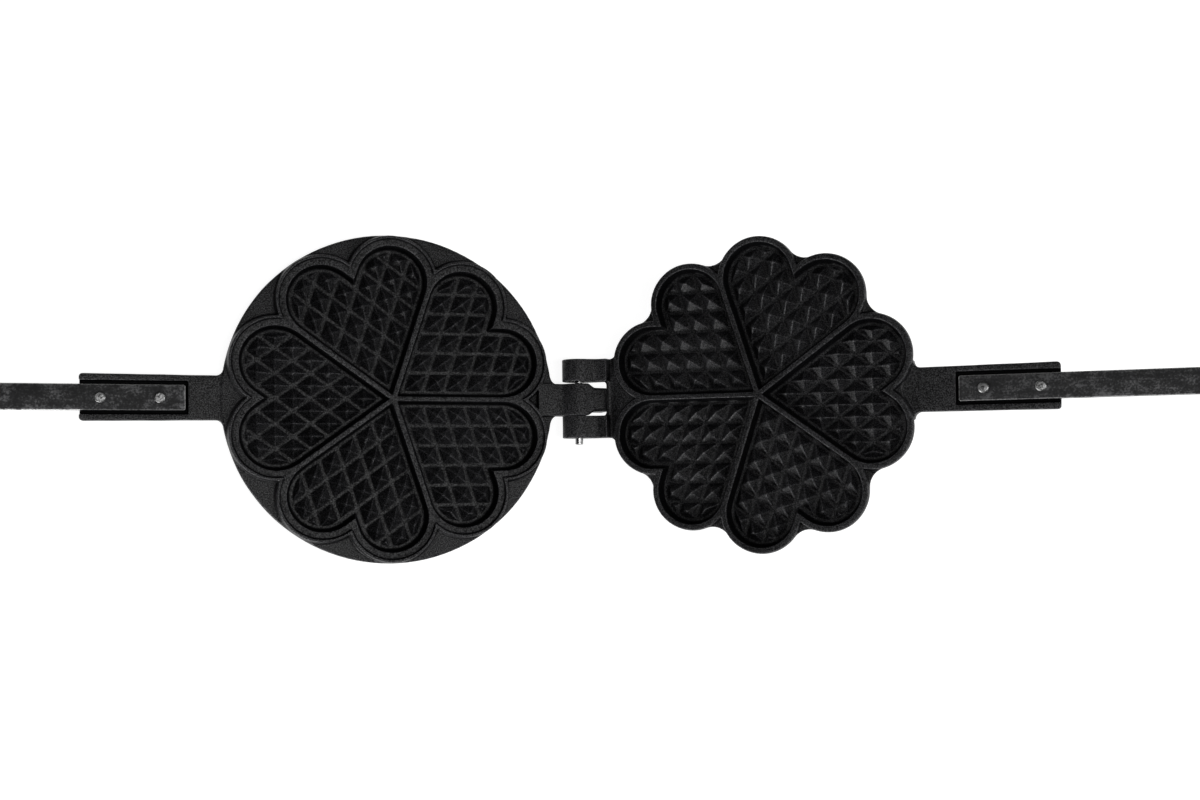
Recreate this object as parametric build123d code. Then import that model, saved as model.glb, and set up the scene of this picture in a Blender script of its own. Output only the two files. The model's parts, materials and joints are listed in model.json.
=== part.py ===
from build123d import *

import os
from math import asin, atan2, ceil, cos, degrees, hypot, radians, sin, sqrt, tan

# Stovetop waffle iron, opened out on its stop.
#
# Two cast iron halves turn on one hinge pin. Each half is a round plate with five
# heart-shaped waffle moulds, a hinge fitting on one side and a tang on the other. A flat
# steel bar is riveted into the channel of each tang and is that half's handle.
#
# Both halves are drawn on the same bench: the hinge axis is the Y axis, the plate lies
# towards +X with its moulds facing up, and z = 0 is the parting plane where the two plates
# meet when the iron is closed. The lower half is then turned half a turn about Z, and the
# upper half is tilted up about the hinge until its cross web meets the stop.
#
# Part frame: origin at the middle of the lower plate's back, which stands on the stove,
# +X towards the hinge, +Y along the hinge pin, +Z up.

# ---- Driving dimensions, in millimetres and degrees ----

# Plates
plate_radius = 100.0  # round flange of the lower plate
plate_depth = 13.0  # parting plane to the flat back
hinge_gap = 16.5  # hinge axis to the plate's edge
closed_gap = 0.3  # between the two plates' lands when shut
flange_drop = 3.2  # flange top below the parting plane
edge_round = 1.2  # soft cast edge of the flange
back_chamfer = 5.0  # bevel between flange and back
back_draft = 8.0  # slope of the upper plate's side, degrees

# Heart moulds
heart_count = 5
ridge_width = 2.8  # top of the ridge between two hearts
lobe_radius = 21.5
flange_margin = 0.05  # outer foot of the bead to the flange's edge
mould_depth = 7.5
wall_run = 1.5  # how far a mould's wall leans in on its way down

# Waffle pyramids on the floor of each mould
pyramid_pitch = 12.2
pyramid_height = 6.0
channel_width = 2.4  # flat floor between two pyramids
hip_share = 0.999  # of a pyramid's height that the hips reach; a true point can't be built

# Rims that close round the hearts
land_width = 4.2  # flat face outside a mould's edge
bead_width = 1.5  # raised rim of the lower plate, round its land
bead_height = 1.8  # above the parting plane
bead_run = 1.0  # how far the bead's outer side leans out
rim_clearance = 0.4  # upper rim inside the lower bead
rim_drop = 3.0  # upper plate's webs below its rim
rim_run = 0.5  # how far the upper rim's side leans in
web_radius = 12.0  # hollow curve between two lobes

# Hinge
pin_diameter = 5.0
pin_wall = 1.0
pin_slot = 1.2
pin_chamfer = 0.33
pin_running_clearance = 0.1  # on the radius, in the knuckle
pin_stand_out = 4.0  # past the ear on the -Y side
barrel_radius = 10.5
knuckle_width = 20.0
ear_width = 14.0
ear_gap_near = 0.35  # knuckle to the -Y ear
ear_gap_far = 1.45  # knuckle to the +Y ear
neck_overlap = 10.0  # how far the neck's top runs in over the flange
neck_fillet = 3.5  # hollow between the neck's top and the barrel
neck_corner = 5.0  # hollow corner where the neck leaves the flange
swing_radius = 15.0  # relief in the neck's corners, round the swing of the ears' arms
ear_corner = 4.5  # hollow corner where an ear leaves the lobes
web_face = 17.5  # hinge axis to the cross web between the ears
web_bevel = 0.6  # bevel along the top of the cross web
web_lip_rise = 0.8  # raised lip along the cross web; shut, it lies just over the neck
web_lip_end = 19.9  # hinge axis to the step down behind the lip
web_corner = 2.5  # hollow corner between the cross web and an ear
arm_top = 2.5  # flat of an ear's arm above the axis; shut, it lies just over the lower flange
arm_swing = 53.0  # how far round the barrel an arm's slope begins, degrees
arm_slope = 42.0  # degrees
arm_fillet = 4.0  # hollow between an arm's slope and its flat
arm_end = 19.6  # hinge axis to the step down in front of the lower plate's bead
arm_step_run = 0.6  # how far that step and the lip's lean out

# Stop that holds the iron open
open_angle = 142.0
stop_width = 14.8
stop_gap = 0.3
stop_toe = 19.0  # hinge axis to the foot of the stop
stop_crease = 2.8  # hinge axis to where the top leaves the barrel
stop_slope = 7.0  # slope of the top, degrees
stop_shoulder = 9.8  # hinge axis to where the top rounds down
stop_brow_drop = 2.9  # upper edge of the stop's face below the axis, seen square to the open web
stop_side_round = 2.2
stop_root = 3.7  # hinge axis to where the knuckle's sides begin to draw in
stop_waist = 8.0  # hinge axis to where they are as narrow as the stop

# Tang, the cast socket of the handle
tang_inner_width = 26.0
tang_outer_width = 27.0
tang_drop = 3.8  # top below the parting plane
tang_floor = 3.5  # casting left under the bar
tang_shoulder = 17.7  # flange edge to the start of the channel
tang_end_margin = 11.0  # last rivet to the end of the tang
tang_corner = 4.0  # hollow corner where the tang leaves the plate
tang_end_corner = 2.0
channel_side = 2.25  # clear space beside the bar
channel_end_gap = 1.5  # clear space before the bar's end
bar_below_tang = 1.0  # top of the bar under the channel's walls

# Handle bar, flat steel
bar_width = 15.0
bar_thickness = 4.0
bar_length = 400.0
bar_edge = 0.5
hang_hole_diameter = 6.0
hang_hole_inset = 9.0

# Rivets, two in each handle
rivet_diameter = 5.0
rivet_head_diameter = 6.6
rivet_head_height = 1.5
rivet_tail_diameter = 7.6
rivet_tail_depth = 1.4
rivet_hole_clearance = 0.1
rivet_inset = 14.0  # bar's end to the first rivet
rivet_pitch = 32.0

# ---- Worked out from the driving dimensions ----

plate_centre = plate_radius + hinge_gap  # hinge axis to the middle of a plate
half_sector = 180 / heart_count
lobe_side = ridge_width / 2 + lobe_radius
lobe_middle_reach = plate_radius - flange_margin - bead_run - bead_width - land_width - lobe_radius
lobe_reach = sqrt(lobe_middle_reach ** 2 - lobe_side ** 2)  # plate's middle to the lobe's, along the heart's side
land_top = -closed_gap / 2
mould_floor = land_top - mould_depth
flange_top = -flange_drop
back = -plate_depth
pyramid_base = pyramid_pitch - channel_width
field_inset = wall_run + channel_width
overall_reach = plate_centre + plate_radius
neck_reach = hinge_gap + neck_overlap

knuckle_near = -knuckle_width / 2
knuckle_far = knuckle_width / 2
ear_near = knuckle_near - ear_gap_near
ear_far = knuckle_far + ear_gap_far
pin_near = ear_near - ear_width - pin_stand_out
pin_far = ear_far + ear_width
fold = 180 - open_angle

channel_start = overall_reach + tang_shoulder
bar_start = channel_start + channel_end_gap
rivet_places = [bar_start + rivet_inset, bar_start + rivet_inset + rivet_pitch]
tang_end = rivet_places[-1] + tang_end_margin
tang_top = -tang_drop
bar_top = tang_top - bar_below_tang
bar_bottom = bar_top - bar_thickness
tang_bottom = bar_bottom - tang_floor
channel_width_in_tang = bar_width + 2 * channel_side

root_depth = 1.0  # how far cutters and fused pieces reach into each other


# ---- Heart pattern, drawn about the plate's own middle ----


def at_plate(shape):
    """Move a shape drawn about the plate's middle to its place on the bench."""
    return Pos(plate_centre, 0, 0) * shape


def round_hearts():
    """Turns that carry the heart on the +X axis to every heart of a plate."""
    return [Rot(0, 0, 2 * half_sector * turn) for turn in range(heart_count)]


def lobe_face(grow, side):
    """One lobe with its straight run back to the middle, on one side of the +X axis."""
    run = Pos(lobe_reach / 2, -side * lobe_side) * Rectangle(lobe_reach, 2 * (lobe_radius + grow))
    end = Pos(lobe_reach, -side * lobe_side) * Circle(lobe_radius + grow)
    return Rot(0, 0, side * half_sector) * (run + end)


def heart_face(inset):
    """Outline of one heart, its edge moved in by inset."""
    side_gap = ridge_width / 2 + inset
    tip = side_gap / sin(radians(half_sector))
    far = lobe_reach + 2 * lobe_radius
    left = (tip + far * cos(radians(half_sector)), far * sin(radians(half_sector)))
    right = (left[0], -left[1])
    beyond = (2 * far, 0)
    wedge = make_face(Polyline((tip, 0), left, beyond, right, close=True))
    return (lobe_face(-inset, 1) + lobe_face(-inset, -1)) & wedge


def scallop_face(grow):
    """Outline round all the hearts, its edge moved out by grow from the moulds' edges."""
    middle = Circle(lobe_reach)
    lobes = [turn * lobe_face(grow, side) for turn in round_hearts() for side in (1, -1)]
    return middle + lobes


def pyramid_rows(side):
    """Roof-shaped bars parallel to one side of a heart, standing on the mould's floor."""
    rows = ceil((lobe_reach + lobe_radius) / pyramid_pitch)
    first = ridge_width / 2 + field_inset
    sections = []
    for row in range(rows):
        foot = first + row * pyramid_pitch
        corners = [(foot, -root_depth), (foot + pyramid_base, -root_depth), (foot + pyramid_base, 0)]
        corners += [(foot + pyramid_base / 2, pyramid_height), (foot, 0)]
        sections.append(make_face(Polyline(*corners, close=True)))
    angle = radians(half_sector)
    across = Plane((0, 0, mould_floor), x_dir=(sin(angle), -side * cos(angle), 0),
                   z_dir=(-side * cos(angle), -sin(angle), 0))
    reach = 2 * (lobe_reach + 2 * lobe_radius)
    return [extrude(across * section, amount=reach, both=True) for section in sections]


def pyramid_field():
    """Waffle pyramids of one heart, clipped to hips along the mould's wall."""
    slope = degrees(atan2(pyramid_base / 2, pyramid_height))
    outline = Pos(0, 0, mould_floor) * heart_face(field_inset)
    hips = extrude(outline, amount=pyramid_height * hip_share, taper=slope)
    hips += extrude(outline, amount=-root_depth)
    one_way = Part() + pyramid_rows(1)
    other_way = Part() + pyramid_rows(-1)
    return one_way & other_way & hips


def heart_mould():
    """The space that one heart takes out of a plate."""
    lean = degrees(atan2(wall_run, mould_depth))
    outline = Pos(0, 0, land_top) * heart_face(0)
    hollow = extrude(outline, amount=-mould_depth, taper=lean)
    opening = extrude(outline, amount=bead_height + closed_gap + barrel_radius)
    return hollow - pyramid_field() + opening


def all_moulds():
    """Every heart of one plate."""
    mould = heart_mould()
    return [at_plate(turn * mould) for turn in round_hearts()]


# ---- Shapes that both halves share ----


def slab(face, low, high):
    """A face in the bench plane made into a slab between two heights."""
    return extrude(Pos(0, 0, low) * face, amount=high - low)


def side_slab(face, near, far):
    """A side profile, drawn as (x, z), made into a slab between two places along Y."""
    upright = Plane((0, near, 0), x_dir=(1, 0, 0), z_dir=(0, -1, 0))
    return extrude(upright * face, amount=-(far - near))


def cross_bore(radius, near, far):
    """A round bore on the hinge axis between two places along Y."""
    return side_slab(Circle(radius), near, far)


def tang_face():
    """Plan of the tang, a little wider at its outer end."""
    inner = tang_inner_width / 2
    outer = tang_outer_width / 2
    plan = make_face(Polyline((plate_centre, inner), (overall_reach, inner), (tang_end, outer),
                              (tang_end, -outer), (overall_reach, -inner), (plate_centre, -inner),
                              close=True))
    ends = plan.vertices().group_by(Axis.X)[-1]
    return fillet(ends, radius=tang_end_corner)


def hollow_corner(middle, radius, edge, corner):
    """Casting that fills the corner between a straight side at y = edge and a round of the plate's outline."""
    across = edge + corner - middle[1]
    hollow = (middle[0] + sqrt((radius + corner) ** 2 - across ** 2), edge + corner)
    swing = atan2(across, hollow[0] - middle[0])
    touch = (middle[0] + radius * cos(swing), middle[1] + radius * sin(swing))
    start = middle[0] + sqrt(radius ** 2 - (edge - middle[1]) ** 2)
    outline = Polyline(hollow, touch, (touch[0] - root_depth, touch[1] - root_depth),
                       (start - root_depth, edge - root_depth), (hollow[0], edge - root_depth), close=True)
    return make_face(outline) - Pos(*hollow) * Circle(corner)


def hinge_side_corner(middle, radius, edge, corner):
    """The same corner on the hinge's side of a round drawn about the plate's middle."""
    towards_tang = hollow_corner((-middle[0], middle[1]), radius, edge, corner)
    return at_plate(mirror(towards_tang, about=Plane.YZ))


def both_sides(face):
    """A face with its mirror image across the XZ plane."""
    return [face, mirror(face, about=Plane.XZ)]


def tang_with_corners(middle, radius):
    """Plan of the tang with the hollow corners that join it to a round of the plate's outline."""
    return tang_face() + both_sides(hollow_corner(middle, radius, tang_inner_width / 2, tang_corner))


def rivet_hole(place, top, bottom):
    """Round hole with a countersunk mouth at the underside of the tang."""
    radius = rivet_diameter / 2 + rivet_hole_clearance
    mouth = rivet_tail_diameter / 2 + rivet_hole_clearance
    shaft = Cylinder(radius, top - bottom, align=(Align.CENTER, Align.CENTER, Align.MIN))
    sink = Cone(mouth, radius, rivet_tail_depth, align=(Align.CENTER, Align.CENTER, Align.MIN))
    return Pos(place, 0, bottom) * (shaft + sink)


def handle_socket():
    """The channel for the bar and the two rivet holes in its floor."""
    channel = Rectangle(tang_end - channel_start + root_depth, channel_width_in_tang,
                        align=(Align.MIN, Align.CENTER))
    cut = slab(Pos(channel_start, 0) * channel, bar_bottom, 0)
    for place in rivet_places:
        cut += rivet_hole(place, bar_bottom + root_depth, tang_bottom)
    return cut


# ---- Castings ----


def lower_casting():
    """Round plate with the bead, knuckle, stop and tang."""
    disc = slab(at_plate(Circle(plate_radius)), back, flange_top)
    disc = fillet(disc.edges().group_by(Axis.Z)[-1], radius=edge_round)
    disc = chamfer(disc.edges().group_by(Axis.Z)[0], length=back_chamfer)

    lean = degrees(atan2(bead_run, bead_height - flange_top))
    bead_outline = scallop_face(land_width + bead_width + bead_run)
    bead = extrude(Pos(0, 0, flange_top) * bead_outline, amount=bead_height - flange_top, taper=lean)
    bead += slab(bead_outline, flange_top - edge_round - root_depth, flange_top)
    bead &= Cylinder(plate_radius, 4 * plate_depth)
    inside = slab(scallop_face(land_width), land_top, bead_height + root_depth)

    tang = slab(tang_with_corners((plate_centre, 0), plate_radius), tang_bottom, tang_top)
    body = disc + at_plate(bead) + tang + lower_neck()
    body -= at_plate(inside)
    body += lower_knuckle()
    body -= all_moulds()
    body -= handle_socket()
    return body - cross_bore(pin_diameter / 2 + pin_running_clearance, pin_near, pin_far)


def lower_neck():
    """Block between the knuckle and the plate, with hollow corners that the ears swing past."""
    block = Rectangle(neck_reach, bead_height - back, align=(Align.MIN, Align.MIN))
    neck = side_slab(Pos(0, back) * block, knuckle_near, knuckle_far)
    corner = hinge_side_corner((0, 0), plate_radius, knuckle_width / 2, neck_corner)
    corners = slab(Sketch() + both_sides(corner), back, flange_top)
    return neck + (corners - cross_bore(swing_radius, -tang_inner_width, tang_inner_width))


def lower_knuckle():
    """Barrel of the lower half on a foot as deep as the plate, drawn in to the stop in front."""
    foot = Pos(-barrel_radius, back) * Rectangle(2 * barrel_radius, plate_depth, align=(Align.MIN, Align.MIN))
    barrel = side_slab(Circle(barrel_radius) + foot + neck_hollow(), knuckle_near, knuckle_far)
    return barrel - knuckle_sides() + stop()


def knuckle_sides():
    """What the knuckle loses on both sides where it draws in to the stop's width."""
    outer = knuckle_width / 2 + root_depth
    root = (-stop_root, knuckle_width / 2)
    waist = (-stop_waist, stop_width / 2)
    side = make_face(Polyline((-stop_root, outer), root, waist, (-stop_toe, stop_width / 2), (-stop_toe, outer),
                              close=True))
    return slab(Sketch() + both_sides(side), back - root_depth, barrel_radius + root_depth)


def neck_hollow():
    """Side profile of the hollow between the neck's top and the barrel."""
    height = bead_height + neck_fillet
    hollow = (sqrt((barrel_radius + neck_fillet) ** 2 - height ** 2), height)
    touch = (hollow[0] * barrel_radius / hypot(*hollow), height * barrel_radius / hypot(*hollow))
    outline = Polyline(hollow, touch, (0, 0), (hollow[0], bead_height - root_depth), close=True)
    return make_face(outline) - Pos(*hollow) * Circle(neck_fillet)


def from_open_web(along, height):
    """Point given square to the opened upper half, as (x, z) on the lower half's bench."""
    lean = radians(fold)
    return (-along * cos(lean) + height * sin(lean), along * sin(lean) + height * cos(lean))


def stop_face():
    """Side profile of the stop: its top rounds down to a face that is square to the opened cross web."""
    face_reach = web_face - stop_gap
    brow = from_open_web(face_reach, -stop_brow_drop)
    slope = (stop_toe + brow[0]) / sin(radians(fold))
    heel = from_open_web(face_reach, -stop_brow_drop - slope)
    crease = (-stop_crease, sqrt(barrel_radius ** 2 - stop_crease ** 2))
    fall = tan(radians(stop_slope))
    shoulder = (-stop_shoulder, crease[1] - (stop_shoulder - stop_crease) * fall)
    rounding = TangentArc(shoulder, brow, tangent=(-1, -fall))
    rest = Polyline(brow, heel, (-stop_toe, back), (0, back), (0, 0), crease, shoulder)
    return make_face([rounding] + list(rest.edges()))


def stop():
    """Nose that the opened cross web rests on, drawn in from the knuckle's width and rounded at its edges."""
    nose = side_slab(stop_face(), knuckle_near, knuckle_far) - knuckle_sides()
    top = nose.faces().filter_by(Plane.XZ, reverse=True).sort_by(Axis.Z)[-1]
    sides = [edge for edge in top.edges() if edge.center().X < -stop_root and abs(edge.center().Y) > stop_width / 4]
    return fillet(nose.edges().filter_by(GeomType.CIRCLE) + sides, radius=stop_side_round)


def upper_casting():
    """Scalloped plate with the ears, cross web and tang."""
    rim_radius = lobe_radius + land_width - rim_clearance
    rim_outline = scallop_face(land_width - rim_clearance)
    rim_base = -rim_drop
    lean = degrees(atan2(rim_run, land_top - rim_base))
    rim = extrude(Pos(0, 0, rim_base) * rim_outline, amount=land_top - rim_base, taper=lean)
    rim += slab(rim_outline, rim_base - root_depth, rim_base)

    webbed = rim_outline + hollow_webs(rim_radius)
    skirt = extrude(Pos(0, 0, rim_base) * webbed, amount=back - rim_base, taper=back_draft)

    lobe = Vector(lobe_reach, -lobe_side).rotate(Axis.Z, half_sector)
    tang = slab(tang_with_corners((plate_centre + lobe.X, lobe.Y), rim_radius), tang_bottom, tang_top)
    body = at_plate(rim + skirt) + tang + hinge_web() + ears() + ear_corners(rim_radius)
    body -= all_moulds()
    body -= handle_socket()
    return body - cross_bore(pin_diameter / 2, pin_near, pin_far)


def hollow_webs(rim_radius):
    """Webs that round off the notches between neighbouring lobes of the upper plate."""
    swing = degrees(atan2(lobe_side, lobe_reach))
    webs = []
    for turn in range(heart_count):
        heart_axis = 2 * half_sector * turn
        webs.append(web_between(rim_radius, heart_axis, half_sector - swing))
        webs.append(web_between(rim_radius, heart_axis + half_sector, swing))
    return webs


def web_between(rim_radius, bearing, half_gap):
    """Web between two lobes that lie half_gap degrees to each side of a bearing."""
    along = lobe_middle_reach * cos(radians(half_gap))
    across = lobe_middle_reach * sin(radians(half_gap))
    hollow = along + sqrt((rim_radius + web_radius) ** 2 - across ** 2)
    filled = make_face(Polyline((hollow, 0), (along, across), (along, -across), close=True))
    return Rot(0, 0, bearing) * (filled - Pos(hollow, 0) * Circle(web_radius))


def hinge_web():
    """Cross web that joins the two ears to the plate, with a raised lip along its hinge side."""
    reach = plate_centre - lobe_reach
    top = -rim_drop
    lip_top = top + web_lip_rise
    lip = [(web_face, lip_top - web_bevel), (web_face + web_bevel, lip_top), (web_lip_end, lip_top)]
    profile = Polyline((web_face, back), *lip, (web_lip_end + arm_step_run, top), (reach, top), (reach, back),
                       close=True)
    web = side_slab(make_face(profile), ear_near - root_depth, ear_far + root_depth)
    corner = Rectangle(web_corner + root_depth, web_corner + root_depth, align=(Align.MAX, Align.MIN))
    corner -= Pos(-web_corner - root_depth, web_corner + root_depth) * Circle(web_corner)
    near = Pos(web_face + root_depth, ear_near - root_depth) * corner
    far = Pos(web_face + root_depth, ear_far + root_depth) * mirror(corner, about=Plane.XZ)
    return web + slab(near + far, back, lip_top - web_bevel)


def ear_corners(rim_radius):
    """Hollow corners between the ears' outer sides and the lobes next to them."""
    lobe = (-lobe_reach, lobe_side)
    far = hinge_side_corner(lobe, rim_radius, ear_far + ear_width, ear_corner)
    near = mirror(hinge_side_corner(lobe, rim_radius, ear_width - ear_near, ear_corner), about=Plane.XZ)
    return slab(far + near, back, -rim_drop)


def ears():
    """Two ears that hold the pin, each with an arm back to the plate."""
    profile = Circle(barrel_radius) + arm_face()
    near = side_slab(profile, ear_near - ear_width, ear_near)
    far = side_slab(profile, ear_far, ear_far + ear_width)
    return near + far


def arm_face():
    """Side profile of an ear's arm: a slope off the barrel, a hollow, a flat, and a step down to the web."""
    reach = plate_centre - lobe_reach
    swing = radians(arm_swing)
    slope = radians(arm_slope)
    start = (barrel_radius * sin(swing), barrel_radius * cos(swing))
    hollow_rise = arm_fillet * (1 - cos(slope))
    hollow_run = arm_fillet * sin(slope)
    slope_run = (start[1] - arm_top - hollow_rise) / tan(slope)
    hollow_start = (start[0] + slope_run, arm_top + hollow_rise)
    hollow_end = (hollow_start[0] + hollow_run, arm_top)
    hollow = TangentArc(hollow_start, hollow_end, tangent=(cos(slope), -sin(slope)))
    step = [(arm_end, arm_top), (arm_end + arm_step_run, -rim_drop)]
    rest = Polyline(hollow_end, *step, (reach, -rim_drop), (reach, -barrel_radius), (0, -barrel_radius), (0, 0),
                    start, hollow_start)
    return make_face([hollow] + list(rest.edges()))


# ---- Pin, bars and rivets ----


def hinge_pin():
    """Slotted spring pin, driven through both ears."""
    ring = Circle(pin_diameter / 2) - Circle(pin_diameter / 2 - pin_wall)
    ring -= Rectangle(pin_slot, pin_diameter, align=(Align.CENTER, Align.MIN))
    pin = side_slab(ring, pin_near, pin_far)
    ends = pin.edges().filter_by(GeomType.CIRCLE)
    outer = [edge for edge in ends if abs(edge.radius - pin_diameter / 2) < pin_wall / 2]
    return chamfer(outer, length=pin_chamfer)


def handle_bar():
    """Flat bar with a rounded outer end and a hanging hole."""
    end = bar_start + bar_length
    middle = end - bar_width / 2
    plan = Pos(bar_start, 0) * Rectangle(middle - bar_start, bar_width, align=(Align.MIN, Align.CENTER))
    plan += Pos(middle, 0) * Circle(bar_width / 2)
    bar = slab(plan, bar_bottom, bar_top)
    rims = bar.edges().group_by(Axis.Z)
    bar = chamfer(rims[-1] + rims[0], length=bar_edge)
    bar -= Pos(end - hang_hole_inset, 0, bar_bottom) * Cylinder(hang_hole_diameter / 2, 2 * plate_depth)
    for place in rivet_places:
        bar -= Pos(place, 0, bar_bottom) * Cylinder(rivet_diameter / 2 + rivet_hole_clearance, 2 * plate_depth)
    return bar


def rivet(place):
    """Rivet with a low round head on the bar and a flush tail under the tang."""
    radius = rivet_diameter / 2
    head = rivet_head_diameter / 2
    tail = rivet_tail_diameter / 2
    crown = bar_top + rivet_head_height
    dome = ThreePointArc((0, crown), dome_middle(head, rivet_head_height, bar_top), (head, bar_top))
    rest = Polyline((head, bar_top), (radius, bar_top), (radius, tang_bottom + rivet_tail_depth),
                    (tail, tang_bottom), (0, tang_bottom), (0, crown))
    half = make_face([dome] + list(rest.edges()))
    upright = Plane((0, 0, 0), x_dir=(1, 0, 0), z_dir=(0, -1, 0))
    return Pos(place, 0, 0) * revolve(upright * half, axis=Axis.Z)


def dome_middle(half_width, height, base):
    """Point half way along a round dome, as (radius, z)."""
    radius = (half_width ** 2 + height ** 2) / (2 * height)
    swing = asin(half_width / radius) / 2
    return (radius * sin(swing), base + height - radius + radius * cos(swing))


# ---- Placing and writing ----

hinge_place = Pos(plate_centre, 0, plate_depth)
lower_place = hinge_place * Rot(0, 0, 180)
upper_place = hinge_place * Rot(0, -fold, 0)

pieces = {
    "lower_plate": lower_place * lower_casting(),
    "upper_plate": upper_place * upper_casting(),
    "hinge_pin": upper_place * hinge_pin(),
    "lower_handle_bar": lower_place * handle_bar(),
    "upper_handle_bar": upper_place * handle_bar(),
    "lower_inner_rivet": lower_place * rivet(rivet_places[0]),
    "lower_outer_rivet": lower_place * rivet(rivet_places[1]),
    "upper_inner_rivet": upper_place * rivet(rivet_places[0]),
    "upper_outer_rivet": upper_place * rivet(rivet_places[1]),
}

os.makedirs("parts", exist_ok=True)
for name, shape in pieces.items():
    export_step(shape, f"parts/{name}.step")
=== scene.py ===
"""Looks of a stovetop waffle iron, built around its CAD frame.

Two black castings with heart moulds stand open on a hinge, each with a flat steel handle bar
held by two rivets. Every piece is in metres, in the frame's own axes: the lower plate's back
is on the floor, +X runs to the hinge and the raised upper half, +Z is up.
"""

import json
from math import asin, cos, pi, radians, sin

import bpy
import numpy as np
from mathutils import Matrix, Vector


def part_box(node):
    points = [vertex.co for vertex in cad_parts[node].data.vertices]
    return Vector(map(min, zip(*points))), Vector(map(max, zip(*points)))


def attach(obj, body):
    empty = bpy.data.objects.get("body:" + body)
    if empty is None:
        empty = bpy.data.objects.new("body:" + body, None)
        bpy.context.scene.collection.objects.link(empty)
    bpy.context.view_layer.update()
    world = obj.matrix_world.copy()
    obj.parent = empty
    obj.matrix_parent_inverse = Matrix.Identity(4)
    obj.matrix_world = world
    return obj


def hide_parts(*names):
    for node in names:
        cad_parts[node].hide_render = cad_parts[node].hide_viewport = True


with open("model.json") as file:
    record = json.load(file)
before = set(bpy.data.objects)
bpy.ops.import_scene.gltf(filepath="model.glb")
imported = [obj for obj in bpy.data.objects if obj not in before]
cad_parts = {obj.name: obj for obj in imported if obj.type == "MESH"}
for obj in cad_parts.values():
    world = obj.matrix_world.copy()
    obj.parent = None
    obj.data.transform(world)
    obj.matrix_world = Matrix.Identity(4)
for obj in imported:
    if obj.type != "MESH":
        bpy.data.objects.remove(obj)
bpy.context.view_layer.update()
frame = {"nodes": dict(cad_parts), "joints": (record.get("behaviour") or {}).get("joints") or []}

bl_info = {
    "name": "Stovetop waffle iron",
    "version": (1, 0, 0),
    "blender": (4, 5, 0),
    "location": "View3D > Sidebar > Waffle iron",
    "description": "Castings, handle bars, rivets and hinge pin of a stovetop waffle iron",
    "category": "Add Mesh",
}

HINGE = Vector(frame["joints"][0]["pos_m"])
OPEN_ANGLE = 142.0  # degrees between the two halves, as they rest on the stop
FOLD = radians(180 - OPEN_ANGLE)

# Castings, in metres
PLATE_MIDDLE = 0.1165  # hinge axis to the middle of a plate
MOULD_REACH = 0.098  # plate's middle to just past the inner side of the raised bead
INNER_REACH = 0.07  # nearer the plate's middle than this, a steep face is always a mould's
OUTWARDS = 0.2  # a wall faces outwards when its normal has more than this share outwards
CAST_WAVE = 0.024  # length of the slow waves in the cast skin
EDGE_GAIN = 4  # how fast wear grows with how far a vertex stands out
CREASE_GAIN = 2  # how fast the painted shade grows with how far a vertex lies in

# Channel round a bar, in metres from the bar
END_REACH = 0.002  # from the bar's end to just past the face of the channel's end wall
SIDE_REACH = 0.0027  # from the bar's side to just past the face of the channel's side wall
FLOOR_SKIN = 0.0003  # how far under the bar the channel's softened floor may lie
WALL_RISE = 0.001  # top of the channel's walls above the bar

# Painted shade in the moulds, creases and bar channels, where shade falls; 1 where it hides the
# iron
WALL_SHADE = 0.9  # on a mould's wall
GAP_SHADE = 0.95  # between a bar and its channel
CREASE_SHADE = 0.9

# Floor and camera, in metres and in shares of the picture's width
FLOOR_DROP = 0.0003  # keeps the paper just clear of the lower back
FLOOR_REACH = 6.0
CAMERA_PLACE = (-0.2350, -0.0490, 0.8087)  # from the hinge
CAMERA_SHIFT = (-0.0430, 0.0301)  # the picture lies off the lens's axis, as if cropped

# Each half is drawn on a bench where the hinge axis is Y and the plate lies towards +X, moulds up.
BENCH = {
    "lower": Matrix.Translation(HINGE) @ Matrix.Rotation(pi, 4, "Z"),
    "upper": Matrix.Translation(HINGE) @ Matrix.Rotation(-FOLD, 4, "Y"),
}


# ---- Colours, nodes and meshes ----


def linear(code):
    """sRGB hex code, such as 2B2B2C, as linear red, green and blue."""
    parts = [int(code[i:i + 2], 16) / 255 for i in (0, 2, 4)]
    return tuple(c / 12.92 if c <= 0.04045 else ((c + 0.055) / 1.055) ** 2.4 for c in parts)


def add(tree, kind, settings=None, **inputs):
    """Add a node and return it.

    Settings are its properties, and stops are the (place, linear colour) points of a colour ramp.
    Inputs are named with _ for a space, or i and a number, and each takes a value or another
    node's output.
    """
    node = tree.nodes.new("ShaderNode" + kind)
    for key, value in (settings or {}).items():
        if key != "stops":
            setattr(node, key, value)
            continue
        points = node.color_ramp.elements
        while len(points) < len(value):
            points.new(1.0)
        for point, (place, colour) in zip(points, value):
            point.position = place
            point.color = (*colour, 1.0)
    for key, value in inputs.items():
        numbered = key[0] == "i" and key[1:].isdigit()
        socket = node.inputs[int(key[1:])] if numbered else node.inputs[key.replace("_", " ")]
        if isinstance(value, bpy.types.NodeSocket):
            tree.links.new(value, socket)
        else:
            socket.default_value = value
    return node


def new_material(name):
    """A node material with its output and nothing else, as (material, tree)."""
    material = bpy.data.materials.new(name)
    material.use_nodes = True
    tree = material.node_tree
    tree.nodes.clear()
    return material, tree


def new_mesh(name, points, faces, smooth_angle=30):
    """A mesh from an array of points, smooth except where it turns by more than the angle."""
    mesh = bpy.data.meshes.new(name)
    mesh.from_pydata(points.reshape(-1, 3).tolist(), [], faces)
    mesh.shade_smooth()
    mesh.set_sharp_from_angle(angle=radians(smooth_angle))
    return mesh


def show(name, mesh, material, body, node):
    """Link a finished mesh, give it its finish and let it stand for its CAD node."""
    mesh.materials.clear()
    mesh.materials.append(material)
    piece = bpy.data.objects.new(name, mesh)
    bpy.context.scene.collection.objects.link(piece)
    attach(piece, body)
    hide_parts(node)


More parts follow.
